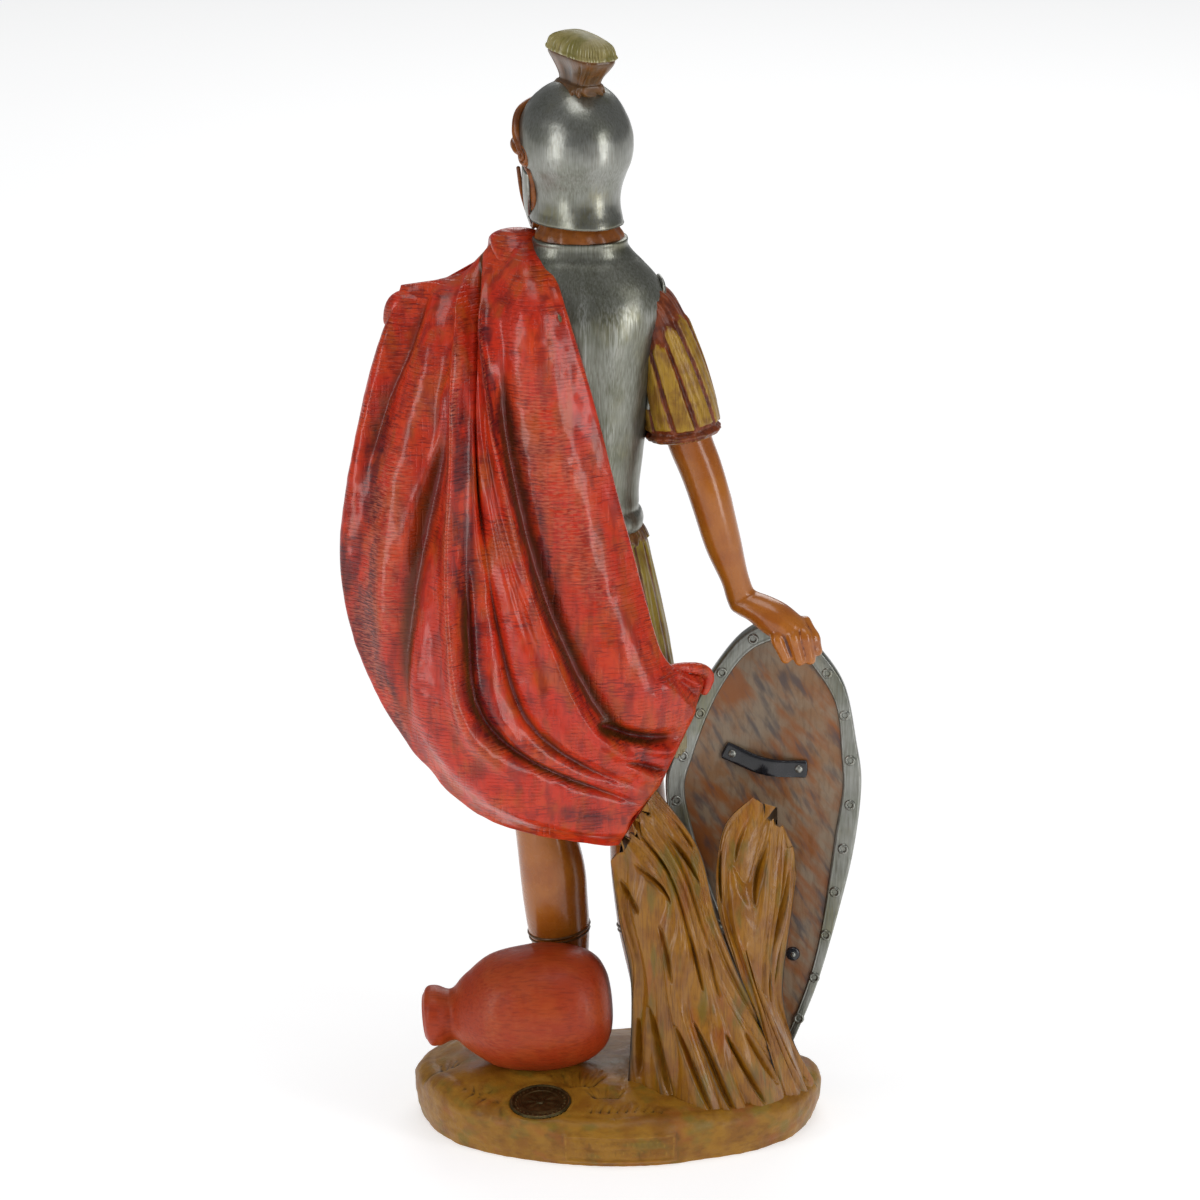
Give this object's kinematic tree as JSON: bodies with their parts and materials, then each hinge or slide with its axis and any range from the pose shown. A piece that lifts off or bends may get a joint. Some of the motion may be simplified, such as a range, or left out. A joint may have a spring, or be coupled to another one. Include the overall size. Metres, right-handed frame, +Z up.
{
  "type": "roman soldier statue",
  "caption": "Painted cast statue of a Roman soldier in a red cape, leaning on an almond shield, with a fallen jar and a tuft of grass on an oval ground base.",
  "frame": {"origin": "centre of the flat underside of the oval base", "axes": "+Z up along the standing figure, +Y the way the soldier's body faces, +X towards his shield side"},
  "size_m": [0.3016, 0.1879, 0.6472],
  "materials": {
    "painted_resin": "hand-painted and varnished resin: red cape, silver-grey armour, orange-brown skin, ochre ground and grass, terracotta jar",
    "dark_bronze": "dark bronze with rubbed high spots",
    "red_paint": "varnished red paint with a dark wash in the folds",
    "silver_paint": "silver-grey metallic paint, brushed, with a yellow-green wash",
    "skin_paint": "varnished orange-brown flesh paint",
    "ochre_paint": "varnished ochre paint with brown and green tints",
    "gold_paint": "olive-gold paint with dark grooves",
    "terracotta_paint": "varnished terracotta paint",
    "brown_paint": "varnished brown paint with dark streaks",
    "cream_paint": "cream paint, dry-brushed over green-brown",
    "black_paint": "gloss black paint"
  },
  "bodies": {
    "root": {"statue": "painted_resin", "medallion": "dark_bronze"}
  },
  "joints": []
}
